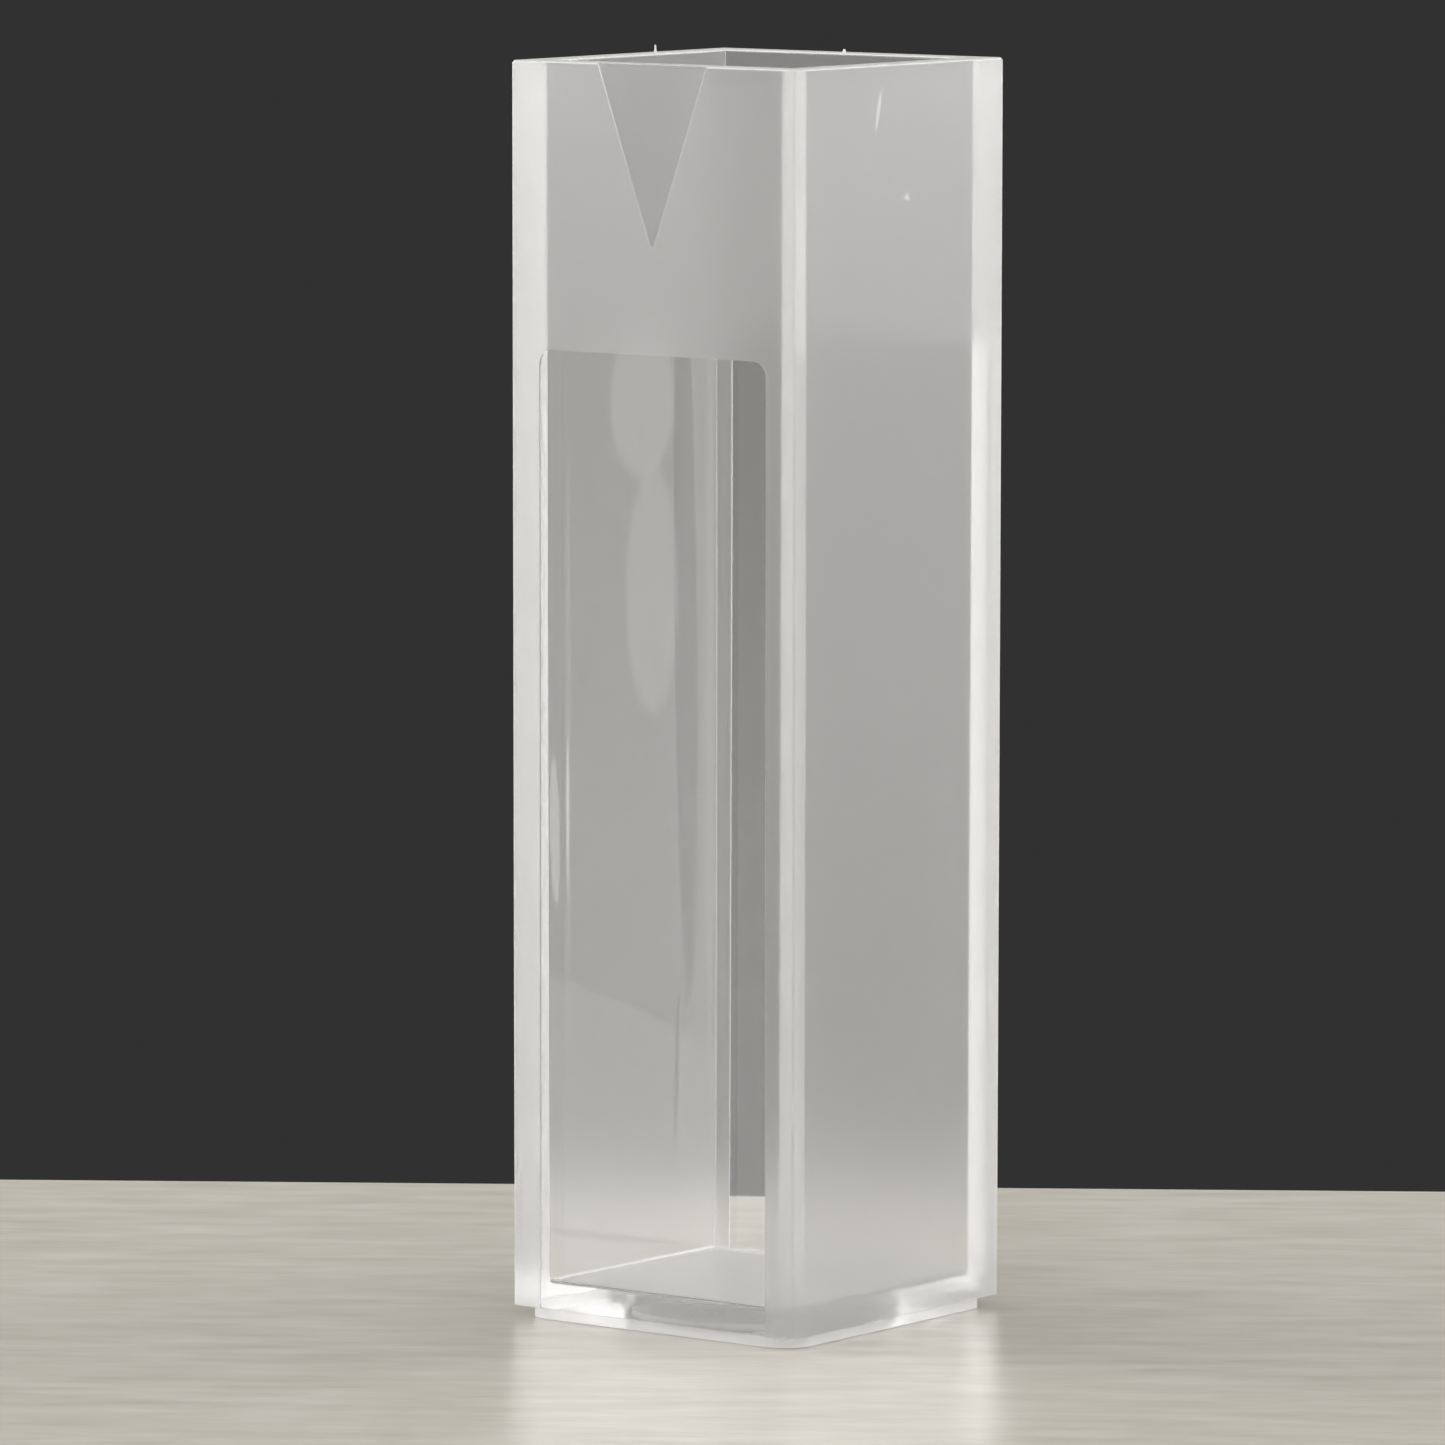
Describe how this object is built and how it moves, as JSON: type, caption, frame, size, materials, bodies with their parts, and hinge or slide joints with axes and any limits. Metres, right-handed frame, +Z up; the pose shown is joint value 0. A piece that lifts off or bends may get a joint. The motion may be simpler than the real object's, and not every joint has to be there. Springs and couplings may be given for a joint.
{
  "type": "macro cuvette",
  "caption": "Square open-topped measuring cell in clear plastic: frosted walls, polished windows on two faces, triangle mark at the rim, low foot.",
  "frame": {"origin": "centre of the foot's underside, on the surface that the cuvette stands on", "axes": "+Z up along the cell, light path along Y through the two windows, triangle mark on the -Y face, frosted side walls on +X and -X"},
  "size_m": [0.0124, 0.0124, 0.045],
  "materials": {
    "clear_polystyrene": "crystal polystyrene, moulded: frosted outside faces, polished windows, triangle, rim and inside"
  },
  "bodies": {
    "root": {"cuvette": "clear_polystyrene"}
  },
  "joints": []
}
